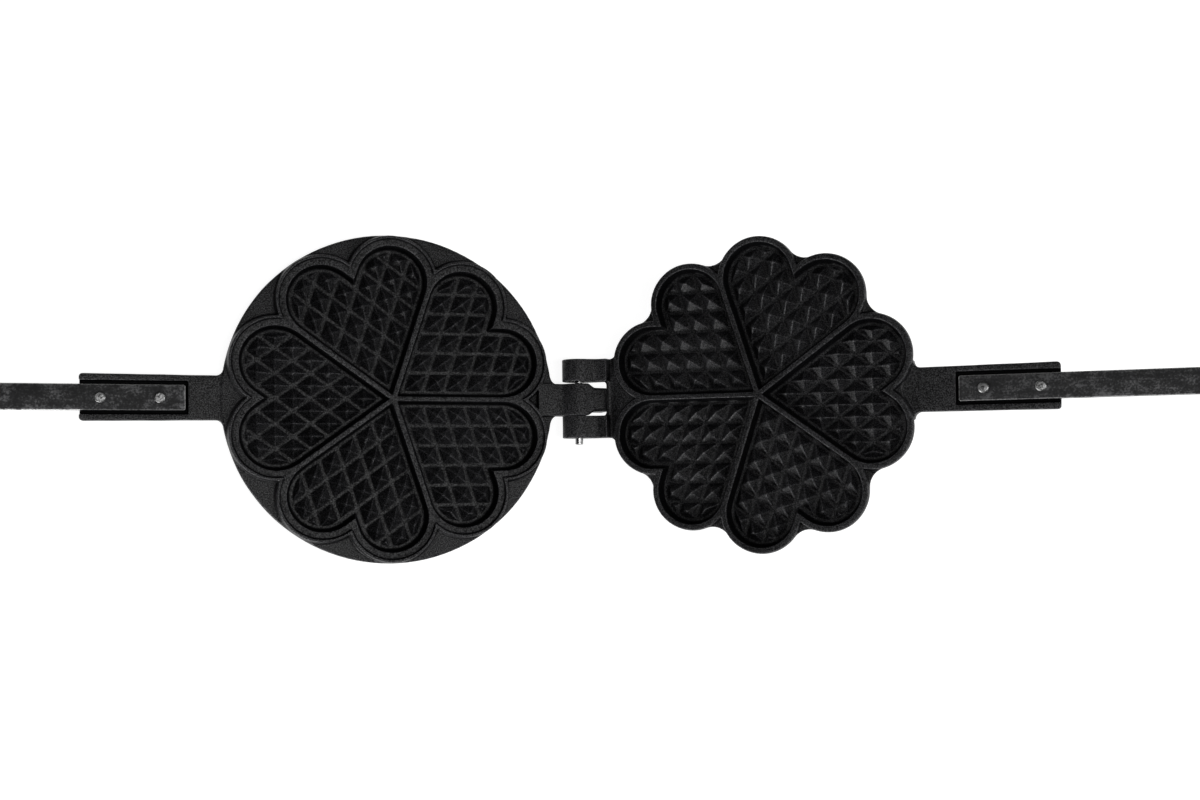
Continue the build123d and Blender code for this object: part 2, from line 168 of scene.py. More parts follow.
def placed(points, half):
    """Carry an array of bench points, in metres, to the frame."""
    turn = np.array(BENCH[half].to_3x3())
    return points @ turn.T + np.array(BENCH[half].translation)


def bench_box(node):
    """Lowest and highest corner of one of the lower half's nodes, as (x, y, z) on the bench."""
    low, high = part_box(node)
    ends = np.array([(HINGE.x - c.x, c.y, c.z - HINGE.z) for c in (low, high)])
    return ends.min(0), ends.max(0)


def set_attribute(mesh, name, values):
    """Store one number per vertex, which a material reads by this name."""
    mesh.attributes.new(name, "FLOAT", "POINT").data.foreach_set("value", values.astype(np.float32))


def evaluated(piece):
    """The piece's mesh with its modifiers applied; the piece itself is then removed."""
    graph = bpy.context.evaluated_depsgraph_get()
    mesh = bpy.data.meshes.new_from_object(piece.evaluated_get(graph))
    if not mesh.polygons:
        raise RuntimeError(piece.name + " has no faces left")
    bpy.data.objects.remove(piece)
    return mesh


def loose(name, mesh):
    """An object for a mesh that is still being worked on."""
    piece = bpy.data.objects.new(name, mesh)
    bpy.context.scene.collection.objects.link(piece)
    return piece


def tube_faces(rings, count, cap_start=True, cap_end=True):
    """Quads between closed rings of count points each, with the end rings filled."""
    ring = np.arange(rings - 1)[:, None] * count
    step = np.arange(count)[None, :]
    ahead = (step + 1) % count
    quads = np.stack([ring + step, ring + ahead, ring + count + ahead, ring + count + step], -1)
    faces = quads.reshape(-1, 4).tolist()
    if cap_start:
        faces.append(list(range(count))[::-1])
    if cap_end:
        faces.append(list(range((rings - 1) * count, rings * count)))
    return faces


def neighbour_mean(values, pairs, share):
    """Each vertex's mean of its neighbours.

    Pairs are the two vertices of every edge, and share is 1 / the number of a vertex's edges.
    """
    total = np.empty_like(values)
    for axis in range(values.shape[1]):
        column = values[:, axis]
        total[:, axis] = (np.bincount(pairs[:, 0], column[pairs[:, 1]], len(values))
                          + np.bincount(pairs[:, 1], column[pairs[:, 0]], len(values)))
    return total * share[:, None]


def cast_skin(points, wave):
    """Slow unevenness of a sand casting, from -1 to 1.

    It is the mean of five sine waves of about the given length. Each is turned 2.4 radians from
    the last, leans up or down by its own amount, and is a little longer.
    """
    total = np.zeros(len(points))
    for turn in range(5):
        bearing = 2.4 * turn + 0.7
        rise = 0.6 * sin(1.9 * turn)
        along = points @ np.array([cos(bearing), sin(bearing), rise])
        total += np.sin(2 * pi * along / (wave * (0.8 + 0.13 * turn)) + 1.7 * turn)
    return total / 5


def ramp(values, low, high):
    """Values between low and high as 0 to 1, held at both ends."""
    return np.clip((values - low) / (high - low), 0, 1)


def soot(points, normals, hollow, half):
    """How much shade is painted at each vertex, from 0 to 1.

    The steep walls of the moulds, the creases and the gap between a bar and its channel get
    painted shade, where shade falls. A wall counts as a mould's when it stands inside the raised
    bead and doesn't face outwards from the plate's middle. The painted shade in the gap deepens
    from the top of the channel's walls down.
    """
    turn = np.array(BENCH[half].to_3x3())
    bench = (points - np.array(BENCH[half].translation)) @ turn
    normal = normals @ turn
    out = bench[:, :2] - [PLATE_MIDDLE, 0]
    radius = np.linalg.norm(out, axis=1)
    facing = np.einsum("ij,ij->i", out, normal[:, :2]) / np.maximum(radius, 0.001)
    outer_wall = (facing > OUTWARDS) & (radius > INNER_REACH)
    mould = (radius < MOULD_REACH) & ~outer_wall
    # Painted shade on the mould walls, in the bar's gap and in the creases.
    wall = WALL_SHADE * mould * ramp(1 - np.abs(normal[:, 2]), 0.35, 0.75)
    low, high = bench_box("lower_handle_bar")
    beside = ((bench[:, 0] > low[0] - END_REACH) & (np.abs(bench[:, 1]) < high[1] + SIDE_REACH)
              & (bench[:, 2] > low[2] - FLOOR_SKIN))
    depth = high[2] + WALL_RISE - bench[:, 2]
    gap = GAP_SHADE * beside * ramp(depth, 0.0002, 0.002)
    crease = CREASE_SHADE * ramp(hollow, 0.08, 0.6)
    return np.maximum(np.maximum(wall, gap), crease)


def softened_casting(half, props):
    """A cast copy of one half's sharp CAD plate.

    The CAD solid is sampled on a grid of cubes and closed into an even skin. Each vertex then
    moves half way to the mean of its neighbours, a few times over, which rounds every edge and
    fills every corner by about one cube, and the whole skin gets the slow waves of a sand casting.
    How far a vertex stands out of the skin's smoothed copy says how much of an edge it lies on,
    and how far it lies in says how much of a crease.
    """
    # The CAD mesh is loose triangles, so its doubled points are merged first.
    copy = loose("rough_" + half, frame["nodes"][half + "_plate"].data.copy())
    weld = copy.modifiers.new("weld", "WELD")
    weld.merge_threshold = 0.00001
    cubes = copy.modifiers.new("cubes", "REMESH")
    cubes.mode = "VOXEL"
    cubes.voxel_size = props.edge_softness
    mesh = evaluated(copy)

    count = len(mesh.vertices)
    points = np.empty(count * 3, np.float32)
    mesh.vertices.foreach_get("co", points)
    points = points.reshape(-1, 3).astype(float)
    pairs = np.empty(len(mesh.edges) * 2, np.int32)
    mesh.edges.foreach_get("vertices", pairs)
    pairs = pairs.reshape(-1, 2)
    share = 1 / np.maximum(np.bincount(pairs.ravel(), minlength=count), 1)
    for _ in range(props.smoothing):
        points += 0.5 * (neighbour_mean(points, pairs, share) - points)
    mesh.vertices.foreach_set("co", points.astype(np.float32).ravel())
    mesh.update()
    normals = np.empty(count * 3, np.float32)
    mesh.vertices.foreach_get("normal", normals)
    normals = normals.reshape(-1, 3)

    smooth = points
    for _ in range(props.edge_reach):
        smooth = neighbour_mean(smooth, pairs, share)
    height = np.einsum("ij,ij->i", points - smooth, normals) / props.edge_softness
    points = points + props.skin_depth * normals * cast_skin(points, CAST_WAVE)[:, None]
    mesh.vertices.foreach_set("co", points.astype(np.float32).ravel())
    set_attribute(mesh, "edge", np.clip(height * EDGE_GAIN, 0, 1))
    hollow = np.clip(-height * CREASE_GAIN, 0, 1)
    # The painted shade goes to the material as a vertex attribute.
    set_attribute(mesh, "soot", soot(points, normals, hollow, half))

    # Every face of the skin is a square, which counts as two triangles.
    thinned = loose("thin_" + half, mesh)
    thin = thinned.modifiers.new("thin", "DECIMATE")
    thin.ratio = min(1.0, props.most_triangles / (2 * len(mesh.polygons)))
    mesh = evaluated(thinned)
    mesh.shade_smooth()
    return mesh


# ---- Bars, rivets and pin ----


def bar_mesh(name, half, low, high, props):
    """A flat bar with a rounded edge all round and a round outer end.

    Station k of the plan has a middle (x, 0), a half width w and an outward normal n. Point j of
    the edge there is at angle a from the bar's top to its underside: it lies r (1 - cos a) inside
    the plan's outline along -n, and r (1 - sin a) inside the bar's thickness, r being the edge's
    rounding. Its partner is mirrored to the other side.
    """
    rounding = props.bar_rounding
    corner = props.bar_corner
    half_width = (high[1] - low[1]) / 2
    # The plan's rounded corner, its straight side, and its round end, which stops 3 degrees
    # short of the middle line, where both sides would meet.
    turn = np.linspace(-pi / 2, 0, 7)
    near = np.stack([low[0] + corner + corner * np.sin(turn),
                     half_width - corner + corner * np.cos(turn)], 1)
    near_normal = np.stack([np.sin(turn), np.cos(turn)], 1)
    steps = np.linspace(low[0] + corner, high[0] - half_width, 41)[1:-1]
    side = np.stack([steps, np.full_like(steps, half_width)], 1)
    side_normal = np.tile([0.0, 1.0], (len(steps), 1))
    turn = np.linspace(0, radians(87), 25)
    far = np.stack([high[0] - half_width + half_width * np.sin(turn),
                    half_width * np.cos(turn)], 1)
    far_normal = np.stack([np.sin(turn), np.cos(turn)], 1)
    plan = np.concatenate([near, side, far])
    normal = np.concatenate([near_normal, side_normal, far_normal])

    quarter = np.linspace(pi / 2, 0, 6)
    angle = np.concatenate([quarter, -quarter[::-1]])
    inset = rounding * (1 - np.cos(angle))
    middle = (low[2] + high[2]) / 2
    core = (high[2] - low[2]) / 2 - rounding
    upper = np.arange(len(angle)) < len(quarter)
    height = middle + np.where(upper, core, -core) + rounding * np.sin(angle)
    edge_x = plan[:, None, 0] - normal[:, None, 0] * inset
    edge_y = plan[:, None, 1] - normal[:, None, 1] * inset
    edge_z = np.broadcast_to(height, edge_x.shape)
    one = np.stack([edge_x, edge_y, edge_z], -1)
    other = one[:, ::-1] * [1, -1, 1]
    points = np.concatenate([one, other], 1)
    # Outside the tang the bar bows up by a squared sine.
    free = np.clip((points[..., 0] - props.bow_start) / (high[0] - props.bow_start), 0, 1)
    points[..., 2] += props.bar_bow * np.sin(pi * free) ** 2

    stations, count = points.shape[:2]
    faces = tube_faces(stations, count, cap_start=False, cap_end=False)
    for start in (0, (stations - 1) * count):
        for j in range(len(angle) - 1):
            quad = [start + j, start + j + 1, start + count - 2 - j, start + count - 1 - j]
            faces.append(quad if start else quad[::-1])
    mesh = new_mesh(name, placed(points, half), faces)
    # The rub is strongest half way round the edge's rounding.
    rub = np.tile(np.sqrt(np.abs(np.sin(2 * angle))), 2)
    set_attribute(mesh, "edge", np.tile(rub, stations))
    return mesh


def rod_mesh(name, half, place, radius, low, high, count=48):
    """A plain round rod along the bench's Z axis, for cutting a hole."""
    turn = np.linspace(0, 2 * pi, count, endpoint=False)
    ring = np.stack([place + radius * np.cos(turn), radius * np.sin(turn), np.zeros(count)], 1)
    points = np.stack([ring + [0, 0, low], ring + [0, 0, high]])
    return new_mesh(name, placed(points, half), tube_faces(2, count))


def drilled(mesh, rod):
    """The mesh with the rod's shape cut out of it."""
    piece = loose("drilled", mesh)
    tool = loose("drill", rod)
    cut = piece.modifiers.new("drill", "BOOLEAN")
    cut.operation = "DIFFERENCE"
    cut.solver = "EXACT"
    cut.object = tool
    mesh = evaluated(piece)
    bpy.data.objects.remove(tool)
    return mesh


def rivet_mesh(name, half, low, high, seat, props):
    """A rivet turned about its own axis, its head struck to a low button.

    The head is a superellipse over the seat: radius R |cos t|^(2/n) and height H |sin t|^(2/n),
    t from the crown down to the seat. The punch leaves a shallow dish in the crown, and the blows
    leave the head a little out of round and lower on one side. The rivet's own place sets where,
    so a bar's two heads differ.
    """
    centre = (low[0] + high[0]) / 2
    tail = (high[0] - low[0]) / 2
    shank = props.rivet_shank / 2
    bend = 2 / props.head_squareness
    t = np.linspace(pi / 2, 0, 15)
    head_r = props.head_width / 2 * np.abs(np.cos(t)) ** bend
    head_z = seat + (high[2] - seat) * np.abs(np.sin(t)) ** bend
    head_z -= props.dish_depth * np.clip(1 - (head_r / (0.36 * props.head_width)) ** 4, 0, 1)
    head_r[0] = props.head_width / 200  # a tiny ring for the crown's cap
    radius = np.concatenate([head_r, [shank, shank, tail, tail]])
    height = np.concatenate(
        [head_z, [seat, low[2] + props.tail_depth, low[2] + props.tail_lip, low[2]]])
    turn = np.linspace(0, 2 * pi, 64, endpoint=False)
    blow = np.where(height > seat, 1.0, 0.0)[:, None]
    uneven = 0.6 * np.sin(2 * turn + 97 * centre) + 0.4 * np.sin(5 * turn + 31 * centre)
    reach = radius[:, None] * (1 + props.blow_depth * blow * uneven)
    lean = 0.07 * (1 + np.sin(turn + 53 * centre))
    dent = (high[2] - seat) * blow * (radius[:, None] / tail) * lean
    points = np.stack(
        [centre + reach * np.cos(turn), reach * np.sin(turn), height[:, None] - dent], -1)
    faces = tube_faces(len(radius), len(turn))
    mesh = new_mesh(name, placed(points, half), faces, smooth_angle=45)
    # The head's shoulder is rubbed, the crown's dish and the foot are not.
    worn = np.zeros(len(radius))
    worn[3:11] = 1.0
    set_attribute(mesh, "edge", np.repeat(worn, len(turn)))
    return mesh


def pin_mesh(name, radius, near, far, props):
    """A slotted spring pin, its outer edge bevelled at both ends.

    It is a C of sheet steel, carried along Y. The C turns about the hinge axis from one side of
    the slot, which faces up on the bench, round to the other, at the pin's radius outside and a
    wall's thickness less inside.
    """
    opening = asin(props.pin_slot / 2 / radius)
    turn = np.linspace(pi / 2 + opening, 5 * pi / 2 - opening, 60)
    along = np.array([near, near + props.pin_bevel, far - props.pin_bevel, far])
    outer = radius - np.array([props.pin_bevel, 0, 0, props.pin_bevel])
    inner = np.full(4, radius - props.pin_wall)
    rings = []
    for place, big, small in zip(along, outer, inner):
        flat = np.full_like(turn, place)
        outside = np.stack([big * np.cos(turn), flat, big * np.sin(turn)], 1)
        inside = np.stack([small * np.cos(turn), flat, small * np.sin(turn)], 1)
        rings.append(np.concatenate([outside, inside[::-1]]))
    faces = tube_faces(len(rings), 2 * len(turn), cap_start=False, cap_end=False)
    for start, step in ((0, 1), (3 * 2 * len(turn), -1)):
        for j in range(len(turn) - 1):
            last = 2 * len(turn) - 1 - j
            faces.append([start + j, start + j + 1, start + last - 1, start + last][::step])
    mesh = new_mesh(name, placed(np.stack(rings), "upper"), faces, smooth_angle=35)
    # The ends are rubbed bright.
    rub = np.tile([1.0, 0.2, 0.2, 1.0], (2 * len(turn), 1)).T
    set_attribute(mesh, "edge", rub.ravel())
    return mesh


# ---- Finishes ----


def seasoned_cast_iron(props):
    """Oiled sand-cast iron baked black: sandy grain, painted shade in hollows, burnished edges."""
    material, tree = new_material("seasoned_sand_cast_iron")
    place = add(tree, "TexCoord").outputs["Object"]
    # The mould sand is about 0.3 mm, too fine to show: it is drawn as grit of 0.7 mm.
    grit = add(tree, "TexNoise", Vector=place, Scale=1 / props.grit_size, Detail=2.0,
               Roughness=0.6).outputs["Fac"]
    # Slight unevenness of the mould skin, about 5 mm across.
    skin = add(tree, "TexNoise", Vector=place, Scale=1 / props.skin_size, Detail=3.0,
               Roughness=0.55).outputs["Fac"]
    # Patches of thicker seasoning, some centimetres across.
    patch = add(tree, "TexNoise", Vector=place, Scale=28.0, Detail=2.0,
                Roughness=0.5).outputs["Fac"]
    edge = add(tree, "Attribute", {"attribute_name": "edge"}).outputs["Fac"]
    # Where shade is painted: mould walls, creases and the gap round a bar.
    shade_mask = add(tree, "Attribute", {"attribute_name": "soot"}).outputs["Fac"]

    speckle = add(tree, "Math", {"operation": "MULTIPLY_ADD"}, i0=patch, i1=0.25,
                  i2=-0.125).outputs[0]
    speckle = add(tree, "Math", {"operation": "ADD"}, i0=grit, i1=speckle).outputs[0]
    # The grit stands out as pale specks on the black.
    stops = [(0.40, tuple(props.iron_dark_and_shade)), (0.50, tuple(props.iron_colour)),
             (0.62, tuple(props.iron_speck))]
    body = add(tree, "ValToRGB", {"stops": stops}, Fac=speckle).outputs["Color"]
    # Wear takes only the high specks of an edge, so the bright line is broken.
    broken = add(tree, "MapRange", i0=grit, i1=0.45, i2=0.60, i3=0.15, i4=1.0).outputs[0]
    rubbed = add(tree, "MapRange", i0=edge, i1=0.25, i2=1.0, i3=0.0, i4=0.5).outputs[0]
    rubbed = add(tree, "Math", {"operation": "MULTIPLY"}, i0=rubbed, i1=broken).outputs[0]
    worn = add(tree, "Mix", {"data_type": "RGBA"}, i0=rubbed, i6=body,
               i7=(*props.iron_worn, 1.0)).outputs[2]
    # The painted shade darkens the colour towards the dark iron.
    colour = add(tree, "Mix", {"data_type": "RGBA"}, i0=shade_mask, i6=worn,
                 i7=(*props.iron_dark_and_shade, 1.0)).outputs[2]
    rough = add(tree, "MapRange", i0=patch, i1=0.35, i2=0.65, i3=props.iron_roughness - 0.06,
                i4=props.iron_roughness + 0.06).outputs[0]
    rough = add(tree, "Math", {"operation": "MULTIPLY_ADD", "use_clamp": True}, i0=rubbed,
                i1=-0.12, i2=rough).outputs[0]

    # Grains shine more than the pits between them, and the painted shade also takes the shine away.
    shine = add(tree, "MapRange", i0=grit, i1=0.36, i2=0.64, i3=0.2 * props.iron_gloss,
                i4=1.8 * props.iron_gloss).outputs[0]
    clean = add(tree, "Math", {"operation": "SUBTRACT"}, i0=1.0, i1=shade_mask).outputs[0]
    gloss = add(tree, "Math", {"operation": "MULTIPLY"}, i0=shine, i1=clean).outputs[0]

    height = add(tree, "Math", {"operation": "MULTIPLY_ADD"}, i0=skin, i1=0.8, i2=grit).outputs[0]
    bump = add(tree, "Bump", Height=height, Distance=props.grit_depth,
               Strength=1.0).outputs["Normal"]
    shader = add(tree, "BsdfPrincipled", Base_Color=colour, Roughness=rough, Normal=bump,
                 Metallic=0.0, IOR=1.5, Specular_IOR_Level=gloss)
    add(tree, "OutputMaterial", Surface=shader.outputs[0])
    return material


def worn_bar_steel(props):
    """Hot rolled flat bar: dark mottled mill scale, rubbed bright in blotches and along edges."""
    material, tree = new_material("worn_rolled_steel")
    place = add(tree, "TexCoord").outputs["Object"]
    # Rubbing runs along the bar, so the streaks are seven times as long as they are wide.
    along = add(tree, "Mapping", Vector=place, Scale=(0.14, 1.0, 0.14)).outputs[0]
    streak = add(tree, "TexNoise", Vector=along, Scale=420.0, Detail=4.0,
                 Roughness=0.6).outputs["Fac"]
    # Blotches of about a centimetre and flecks of a millimetre, where the scale is worn thin.
    blotch = add(tree, "TexNoise", Vector=place, Scale=95.0, Detail=5.0, Roughness=0.65,
                 Distortion=0.4).outputs["Fac"]
    fleck = add(tree, "TexNoise", Vector=place, Scale=900.0, Detail=3.0).outputs["Fac"]
    edge = add(tree, "Attribute", {"attribute_name": "edge"}).outputs["Fac"]
    rub = add(tree, "Math", {"operation": "MULTIPLY"}, i0=streak, i1=0.2).outputs[0]
    rub = add(tree, "Math", {"operation": "MULTIPLY_ADD"}, i0=blotch, i1=0.45, i2=rub).outputs[0]
    rub = add(tree, "Math", {"operation": "MULTIPLY_ADD"}, i0=fleck, i1=0.35, i2=rub).outputs[0]
    # A hand rubs the bar's edges more than its middle.
    across = add(tree, "SeparateXYZ", Vector=place).outputs["Y"]
    across = add(tree, "Math", {"operation": "ABSOLUTE"}, i0=across).outputs[0]
    lift = add(tree, "MapRange", i0=across, i1=0.0045, i2=0.0075, i3=-0.015, i4=0.03).outputs[0]
    rub = add(tree, "Math", {"operation": "ADD"}, i0=rub, i1=lift).outputs[0]
    stops = [(0.43, tuple(props.scale_colour)), (0.50, tuple(props.bar_colour)),
             (0.58, tuple(props.bar_bright))]
    body = add(tree, "ValToRGB", {"stops": stops}, Fac=rub).outputs["Color"]
    bare = add(tree, "MapRange", i0=edge, i1=0.3, i2=0.95, i3=0.0, i4=1.0).outputs[0]
    # The edges are bare only here and there.
    chipped = add(tree, "MapRange", i0=rub, i1=0.44, i2=0.54, i3=0.2, i4=1.0).outputs[0]
    bare = add(tree, "Math", {"operation": "MULTIPLY"}, i0=bare, i1=chipped).outputs[0]
    # Scale is an oxide; only where it is rubbed through does the steel shine as metal.
    through = add(tree, "MapRange", i0=rub, i1=0.50, i2=0.57, i3=0.0, i4=1.0).outputs[0]
    metal = add(tree, "Math", {"operation": "MAXIMUM"}, i0=through, i1=bare).outputs[0]
    colour = add(tree, "Mix", {"data_type": "RGBA"}, i0=bare, i6=body,
                 i7=(*props.bar_edge, 1.0)).outputs[2]
    rough = add(tree, "MapRange", i0=rub, i1=0.4, i2=0.62, i3=0.62, i4=0.52).outputs[0]
    height = add(tree, "Math", {"operation": "MULTIPLY_ADD"}, i0=fleck, i1=0.3,
                 i2=blotch).outputs[0]
    bump = add(tree, "Bump", Height=height, Distance=0.00015, Strength=0.7).outputs["Normal"]
    shader = add(tree, "BsdfPrincipled", Base_Color=colour, Roughness=rough, Normal=bump,
                 Metallic=metal, Specular_IOR_Level=props.scale_gloss)
    add(tree, "OutputMaterial", Surface=shader.outputs[0])
    return material


def plain_steel(name, colour, dark, roughness, dent_size, dent_depth):
    """Bare steel: bright where it was struck or rubbed, duller in the dents."""
    material, tree = new_material(name)
    place = add(tree, "TexCoord").outputs["Object"]
    dent = add(tree, "TexNoise", Vector=place, Scale=1 / dent_size, Detail=3.0,
               Roughness=0.5).outputs["Fac"]
    edge = add(tree, "Attribute", {"attribute_name": "edge"}).outputs["Fac"]
    stops = [(0.38, dark), (0.6, colour)]
    tint = add(tree, "ValToRGB", {"stops": stops}, Fac=dent).outputs["Color"]
    bare = add(tree, "Math", {"operation": "MULTIPLY"}, i0=edge, i1=0.6).outputs[0]
    tint = add(tree, "Mix", {"data_type": "RGBA"}, i0=bare, i6=tint, i7=(*colour, 1.0)).outputs[2]
    rough = add(tree, "MapRange", i0=dent, i1=0.3, i2=0.7, i3=roughness + 0.12,
                i4=roughness - 0.06).outputs[0]
    bump = add(tree, "Bump", Height=dent, Distance=dent_depth, Strength=0.7).outputs["Normal"]
    shader = add(tree, "BsdfPrincipled", Base_Color=tint, Roughness=rough, Normal=bump,
                 Metallic=1.0)
    add(tree, "OutputMaterial", Surface=shader.outputs[0])
    return material


# ---- Sizes and colours that a user would change ----


class CastingProps(bpy.types.PropertyGroup):
    """Finish and softness of the two cast iron halves."""

    edge_softness: bpy.props.FloatProperty(
        name="Edge softness", description="Size of the rounding on cast edges", default=0.0004,
        min=0.0003, max=0.002, subtype="DISTANCE", unit="LENGTH")
    # Besides the wear, this sets how far the painted shade of the creases reaches.
    edge_reach: bpy.props.IntProperty(
        name="Edge reach", description="How many cubes from an edge the wear and the dirt reach",
        default=3, min=1, max=20)
    smoothing: bpy.props.IntProperty(
        name="Smoothing", description="How many times the sampled skin is smoothed", default=2,
        min=0, max=20)
    skin_depth: bpy.props.FloatProperty(
        name="Skin depth", description="Height of the slow waves in the cast skin", default=0.0001,
        min=0.0, max=0.0005, subtype="DISTANCE", unit="LENGTH")
    most_triangles: bpy.props.IntProperty(
        name="Most triangles", description="Triangles kept in one casting", default=190000,
        min=1000, max=198000)
    grit_size: bpy.props.FloatProperty(
        name="Grit size", description="Size of one grain of the sandy skin", default=0.0007,
        min=0.0002, max=0.005, subtype="DISTANCE", unit="LENGTH")
    grit_depth: bpy.props.FloatProperty(
        name="Grit depth", description="Depth of the sandy skin", default=0.0002,
        min=0.0, max=0.001, subtype="DISTANCE", unit="LENGTH")
    skin_size: bpy.props.FloatProperty(
        name="Skin waves", description="Distance between the soft waves of the cast skin",
        default=0.005, min=0.001, max=0.05, subtype="DISTANCE", unit="LENGTH")
    iron_colour: bpy.props.FloatVectorProperty(
        name="Iron", description="Seasoned iron on open faces", default=linear("0C0C0D"),
        size=3, min=0, max=1, subtype="COLOR")
    # Dark end of the grain, and the colour that painted shade in the hollows darkens the iron to.
    iron_dark_and_shade: bpy.props.FloatVectorProperty(
        name="Dark iron", description="Seasoned iron in the hollows", default=linear("070708"),
        size=3, min=0, max=1, subtype="COLOR")
    iron_worn: bpy.props.FloatVectorProperty(
        name="Worn iron", description="Burnished iron on the edges", default=linear("58585B"),
        size=3, min=0, max=1, subtype="COLOR")
    iron_speck: bpy.props.FloatVectorProperty(
        name="Specks", description="Pale specks of the sandy grain", default=linear("2A2A2C"),
        size=3, min=0, max=1, subtype="COLOR")
    iron_gloss: bpy.props.FloatProperty(
        name="Gloss",
        description="How much of a clean surface's mirror light the porous skin gives back",
        default=0.25, min=0.0, max=1.0, subtype="FACTOR")
    iron_roughness: bpy.props.FloatProperty(
        name="Roughness", description="Roughness of the seasoned skin", default=0.45,
        min=0.0, max=1.0, subtype="FACTOR")


class BarProps(bpy.types.PropertyGroup):
    """Shape and finish of the two handle bars."""

    bar_rounding: bpy.props.FloatProperty(
        name="Edge rounding", description="Rounding of the bar's long edges", default=0.0006,
        min=0.0001, max=0.0015, subtype="DISTANCE", unit="LENGTH")
    bar_corner: bpy.props.FloatProperty(
        name="End corner", description="Rounding of the corners at the tang end, in plan",
        default=0.0012, min=0.0002, max=0.005, subtype="DISTANCE", unit="LENGTH")
    bar_bow: bpy.props.FloatProperty(
        name="Bow", description="How far the bar bows up outside its tang", default=0.0004,
        min=-0.002, max=0.002, subtype="DISTANCE", unit="LENGTH")
    bow_start: bpy.props.FloatProperty(
        name="Bow start", description="Hinge axis to the end of the tang", default=0.2935,
        min=0.2, max=0.5, subtype="DISTANCE", unit="LENGTH")
    hang_hole: bpy.props.FloatProperty(
        name="Hanging hole", description="Width of the hole at the outer end", default=0.006,
        min=0.001, max=0.01, subtype="DISTANCE", unit="LENGTH")
    hole_inset: bpy.props.FloatProperty(
        name="Hole inset", description="Bar's end to the middle of the hanging hole", default=0.009,
        min=0.005, max=0.05, subtype="DISTANCE", unit="LENGTH")
    bar_colour: bpy.props.FloatVectorProperty(
        name="Steel", description="Rolled steel", default=linear("262627"),
        size=3, min=0, max=1, subtype="COLOR")
    bar_bright: bpy.props.FloatVectorProperty(
        name="Rubbed steel", description="Rubbed blotches", default=linear("5A5A5B"),
        size=3, min=0, max=1, subtype="COLOR")
    bar_edge: bpy.props.FloatVectorProperty(
        name="Edge steel", description="Bare steel along the edges", default=linear("B4B4B4"),
        size=3, min=0, max=1, subtype="COLOR")
    scale_gloss: bpy.props.FloatProperty(
        name="Scale gloss",
        description="How much of a clean surface's mirror light the scale gives back",
        default=0.25, min=0.0, max=1.0, subtype="FACTOR")
    scale_colour: bpy.props.FloatVectorProperty(
        name="Mill scale", description="Dark scale left on the bar", default=linear("161617"),
        size=3, min=0, max=1, subtype="COLOR")


class FastenerProps(bpy.types.PropertyGroup):
    """Shape and finish of the rivets and the hinge pin."""

    head_width: bpy.props.FloatProperty(
        name="Head width", description="Width of a rivet's head", default=0.0066,
        min=0.005, max=0.012, subtype="DISTANCE", unit="LENGTH")
    head_squareness: bpy.props.FloatProperty(
        name="Squareness", description="2 gives a round head, more a flatter one", default=2.9,
        min=2, max=8)
    blow_depth: bpy.props.FloatProperty(
        name="Out of round", description="Unevenness that the blows leave round the head",
        default=0.02, min=0, max=0.2, subtype="FACTOR")
    dish_depth: bpy.props.FloatProperty(
        name="Dish", description="Depth of the dish that the punch leaves in a rivet's crown",
        default=0.00015, min=0.0, max=0.0005, subtype="DISTANCE", unit="LENGTH")
    rivet_shank: bpy.props.FloatProperty(
        name="Shank", description="Width of a rivet's shank", default=0.005,
        min=0.002, max=0.008, subtype="DISTANCE", unit="LENGTH")
    tail_depth: bpy.props.FloatProperty(
        name="Tail depth", description="Depth of the countersunk tail", default=0.0014,
        min=0.0005, max=0.003, subtype="DISTANCE", unit="LENGTH")
    tail_lip: bpy.props.FloatProperty(
        name="Tail lip", description="Square lip of the tail at the casting's face", default=0.0001,
        min=0.0, max=0.001, subtype="DISTANCE", unit="LENGTH")
    pin_wall: bpy.props.FloatProperty(
        name="Pin wall", description="Thickness of the spring pin's sheet", default=0.001,
        min=0.0003, max=0.002, subtype="DISTANCE", unit="LENGTH")
    pin_slot: bpy.props.FloatProperty(
        name="Pin slot", description="Width of the spring pin's slot", default=0.0012,
        min=0.0002, max=0.003, subtype="DISTANCE", unit="LENGTH")
    pin_bevel: bpy.props.FloatProperty(
        name="Pin bevel", description="Bevel at the ends of the spring pin", default=0.00033,
        min=0.0001, max=0.001, subtype="DISTANCE", unit="LENGTH")


class StudioProps(bpy.types.PropertyGroup):
    """Camera, lamps and floor."""

    lens: bpy.props.FloatProperty(
        name="Lens", description="Focal length for a 36 mm sensor, in millimetres", default=39.76,
        min=10, max=200)
    tilt: bpy.props.FloatProperty(
        name="Tilt", description="How far the camera leans from straight down",
        default=radians(19.32), subtype="ANGLE", unit="ROTATION")
    pan: bpy.props.FloatProperty(
        name="Pan", description="How far the camera looks towards +Y", default=radians(1.84),
        subtype="ANGLE", unit="ROTATION")
    roll: bpy.props.FloatProperty(
        name="Roll", description="How far the camera turns about its own axis",
        default=radians(0.1), subtype="ANGLE", unit="ROTATION")
    key_power: bpy.props.FloatProperty(
        name="Side key", description="Power of the softbox at the front right", default=12.0,
        min=0, unit="POWER")
    low_power: bpy.props.FloatProperty(
        name="Low fill", description="Power of the low softbox at the front left", default=12.0,
        min=0, unit="POWER")
    top_power: bpy.props.FloatProperty(
        name="Top light", description="Power of the softbox overhead", default=15.5, min=0,
        unit="POWER")
    sky_strength: bpy.props.FloatProperty(
        name="Sky", description="Strength of the even light all round", default=0.04, min=0)
    floor_glow: bpy.props.FloatProperty(
        name="Floor glow",
        description="Light that the paper adds where the camera or a mirror sees it",
        default=0.88, min=0, max=1)
    floor_colour: bpy.props.FloatVectorProperty(
        name="Floor", description="Paper that the iron stands on", default=linear("A0A0A0"),
        size=3, min=0, max=1, subtype="COLOR")


# ---- Operators ----


